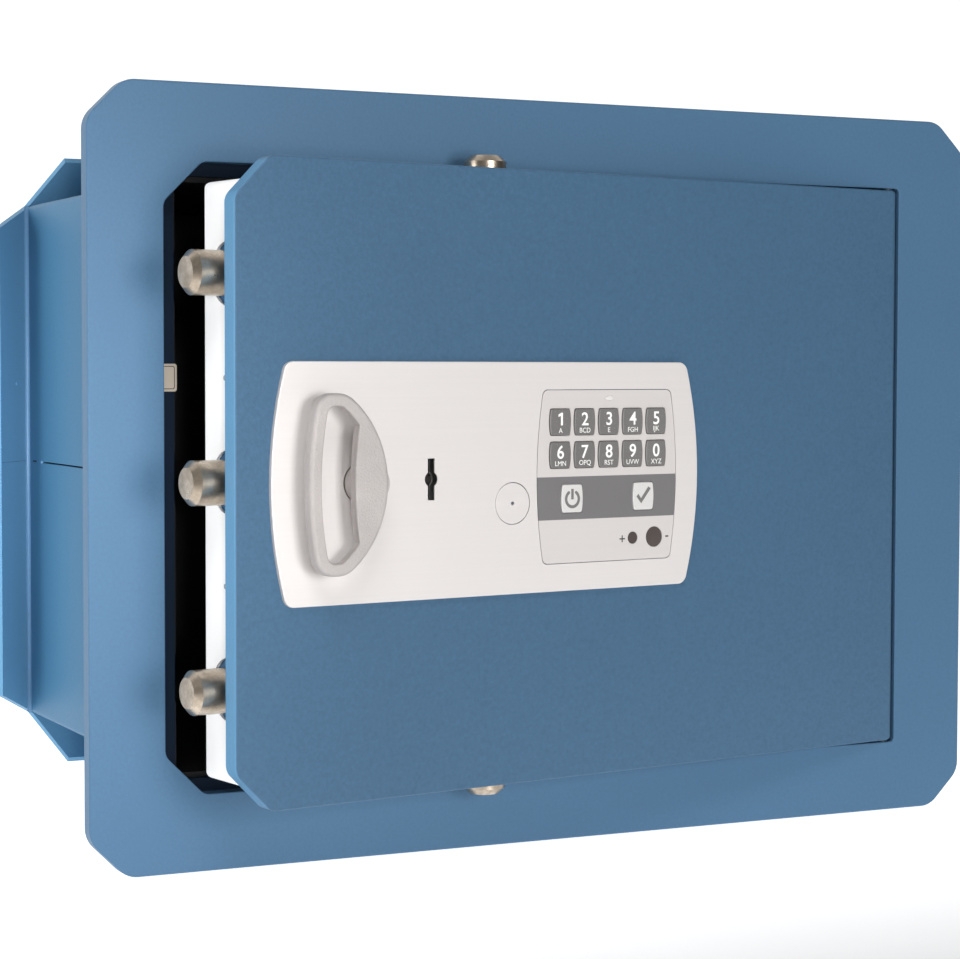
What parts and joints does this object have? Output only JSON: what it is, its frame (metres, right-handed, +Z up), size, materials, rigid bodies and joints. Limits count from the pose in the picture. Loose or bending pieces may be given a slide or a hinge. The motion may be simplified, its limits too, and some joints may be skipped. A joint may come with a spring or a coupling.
{
  "type": "wall safe",
  "caption": "Wall safe set into masonry by rear flaps, with a front flange, keypad, turning handle and round locking bolts.",
  "frame": {"origin": "centre of the front flange on the wall plane, which is the back face of the flange", "axes": "+X to the right as seen from the front, +Y into the wall, +Z up"},
  "size_m": [0.46, 0.3221, 0.348],
  "materials": {
    "flange_paint": "satin fine-texture blue powder coat",
    "door_paint": "satin fine-texture blue powder coat",
    "shell_paint": "satin fine-texture blue powder coat",
    "frame_paint": "satin dark blue paint",
    "cover_paint": "smooth white paint",
    "bolt_zinc": "turned, yellow-tinted zinc plate",
    "pin_blue": "painted with the flange",
    "steel": "zinc plated",
    "panel_silver": "satin light silver",
    "handle_silver": "satin silver on a zinc casting",
    "keypad_grey": "satin moulded",
    "key_grey": "satin moulded",
    "band_grey": "satin moulded",
    "button_pale": "satin moulded",
    "lamp_lens": "clear tinted",
    "contact_metal": "polished",
    "guide_blue": "moulded nylon",
    "lock_brass": "machined",
    "board_green": "solder resist",
    "tray_black": "moulded",
    "cell_wrap": "printed-free sleeve"
  },
  "bodies": {
    "safe_body": {"front_flange": "flange_paint", "door_stop_frame": "frame_paint", "upper_body_shell": "shell_paint", "lower_body_shell": "shell_paint", "back_plate": "shell_paint", "left_bolt_pan": "shell_paint", "top_bolt_pan": "shell_paint", "bottom_bolt_pan": "shell_paint", "upper_hinge_pin": "pin_blue", "lower_hinge_pin": "pin_blue", "door_contact_plate": "steel"},
    "door": {"door_leaf": "door_paint", "mechanism_cover": "cover_paint", "cover_brackets": "steel", "cover_screws": "steel", "lock_panel": "panel_silver", "inspection_cap": "panel_silver", "spindle_bush": "lock_brass", "keypad_face": "keypad_grey", "control_band": "band_grey", "status_light": "lamp_lens", "battery_contacts": "contact_metal", "keypad_board": "board_green", "side_bolt_guides": "guide_blue", "vertical_bolt_guides": "guide_blue", "carriage_posts": "steel", "lock_case": "steel", "solenoid_body": "tray_black", "battery_tray": "tray_black", "batteries": "cell_wrap", "battery_lid": "cover_paint"},
    "handle_body": {"handle": "handle_silver", "handle_spindle": "steel", "spindle_clip": "steel", "drive_crank": "steel"},
    "carriage": {"bolt_carriage": "steel", "upper_side_bolt": "bolt_zinc", "middle_side_bolt": "bolt_zinc", "lower_side_bolt": "bolt_zinc"},
    "top_bolt_body": {"top_bolt": "bolt_zinc", "top_bolt_link": "steel"},
    "bottom_bolt_body": {"bottom_bolt": "bolt_zinc", "bottom_bolt_link": "steel"},
    "lock_plunger_body": {"lock_plunger": "steel"},
    "key_rotor_body": {"key_rotor": "lock_brass"},
    "key_1_body": {"key_1": "key_grey"},
    "key_2_body": {"key_2": "key_grey"},
    "key_3_body": {"key_3": "key_grey"},
    "key_4_body": {"key_4": "key_grey"},
    "key_5_body": {"key_5": "key_grey"},
    "key_6_body": {"key_6": "key_grey"},
    "key_7_body": {"key_7": "key_grey"},
    "key_8_body": {"key_8": "key_grey"},
    "key_9_body": {"key_9": "key_grey"},
    "key_0_body": {"key_0": "key_grey"},
    "power_button_body": {"power_button": "button_pale"},
    "enter_button_body": {"enter_button": "button_pale"}
  },
  "joints": [
    {"name": "door_hinge", "type": "hinge", "parent": "safe_body", "child": "door", "pos_m": [0.185, -0.00455, 0], "axis": [0, 0, 1], "range_deg": [-0.9, 80.7]},
    {"name": "handle_turn", "type": "hinge", "parent": "door", "child": "handle_body", "pos_m": [-0.12537, -0.05968, 0], "axis": [-0.1616, 0.9869, 0], "range_deg": [0, 70.05]},
    {"name": "bolt_throw", "type": "slide", "parent": "door", "child": "carriage", "axis": [0.9869, 0.1616, 0], "range_m": [0, 0.015]},
    {"name": "top_bolt_throw", "type": "slide", "parent": "door", "child": "top_bolt_body", "axis": [0, 0, -1], "range_m": [0, 0.01501]},
    {"name": "bottom_bolt_throw", "type": "slide", "parent": "door", "child": "bottom_bolt_body", "axis": [0, 0, 1], "range_m": [0, 0.01501]},
    {"name": "lock_plunger_travel", "type": "slide", "parent": "door", "child": "lock_plunger_body", "axis": [0, 0, 1], "range_m": [-0.006, 0], "stiffness_N_per_m": 200, "springref_m": 0.002},
    {"name": "key_turn", "type": "hinge", "parent": "door", "child": "key_rotor_body", "pos_m": [-0.08955, -0.05382, 0.0006], "axis": [-0.1616, 0.9869, 0], "range_deg": [0, 90]},
    {"name": "press_key_1", "type": "slide", "parent": "door", "child": "key_1_body", "axis": [-0.1616, 0.9869, 0], "range_m": [0, 0.0008], "stiffness_N_per_m": 400, "springref_m": -0.0005},
    {"name": "press_key_2", "type": "slide", "parent": "door", "child": "key_2_body", "axis": [-0.1616, 0.9869, 0], "range_m": [0, 0.0008], "stiffness_N_per_m": 400, "springref_m": -0.0005},
    {"name": "press_key_3", "type": "slide", "parent": "door", "child": "key_3_body", "axis": [-0.1616, 0.9869, 0], "range_m": [0, 0.0008], "stiffness_N_per_m": 400, "springref_m": -0.0005},
    {"name": "press_key_4", "type": "slide", "parent": "door", "child": "key_4_body", "axis": [-0.1616, 0.9869, 0], "range_m": [0, 0.0008], "stiffness_N_per_m": 400, "springref_m": -0.0005},
    {"name": "press_key_5", "type": "slide", "parent": "door", "child": "key_5_body", "axis": [-0.1616, 0.9869, 0], "range_m": [0, 0.0008], "stiffness_N_per_m": 400, "springref_m": -0.0005},
    {"name": "press_key_6", "type": "slide", "parent": "door", "child": "key_6_body", "axis": [-0.1616, 0.9869, 0], "range_m": [0, 0.0008], "stiffness_N_per_m": 400, "springref_m": -0.0005},
    {"name": "press_key_7", "type": "slide", "parent": "door", "child": "key_7_body", "axis": [-0.1616, 0.9869, 0], "range_m": [0, 0.0008], "stiffness_N_per_m": 400, "springref_m": -0.0005},
    {"name": "press_key_8", "type": "slide", "parent": "door", "child": "key_8_body", "axis": [-0.1616, 0.9869, 0], "range_m": [0, 0.0008], "stiffness_N_per_m": 400, "springref_m": -0.0005},
    {"name": "press_key_9", "type": "slide", "parent": "door", "child": "key_9_body", "axis": [-0.1616, 0.9869, 0], "range_m": [0, 0.0008], "stiffness_N_per_m": 400, "springref_m": -0.0005},
    {"name": "press_key_0", "type": "slide", "parent": "door", "child": "key_0_body", "axis": [-0.1616, 0.9869, 0], "range_m": [0, 0.0008], "stiffness_N_per_m": 400, "springref_m": -0.0005},
    {"name": "press_power", "type": "slide", "parent": "door", "child": "power_button_body", "axis": [-0.1616, 0.9869, 0], "range_m": [0, 0.0008], "stiffness_N_per_m": 400, "springref_m": -0.0005},
    {"name": "press_enter", "type": "slide", "parent": "door", "child": "enter_button_body", "axis": [-0.1616, 0.9869, 0], "range_m": [0, 0.0008], "stiffness_N_per_m": 400, "springref_m": -0.0005}
  ],
  "couplings": [
    {"joint": "handle_turn", "follows": "bolt_throw", "rad_per_m": 81.449},
    {"joint": "top_bolt_throw", "follows": "bolt_throw", "ratio": 1},
    {"joint": "bottom_bolt_throw", "follows": "bolt_throw", "ratio": 1}
  ]
}
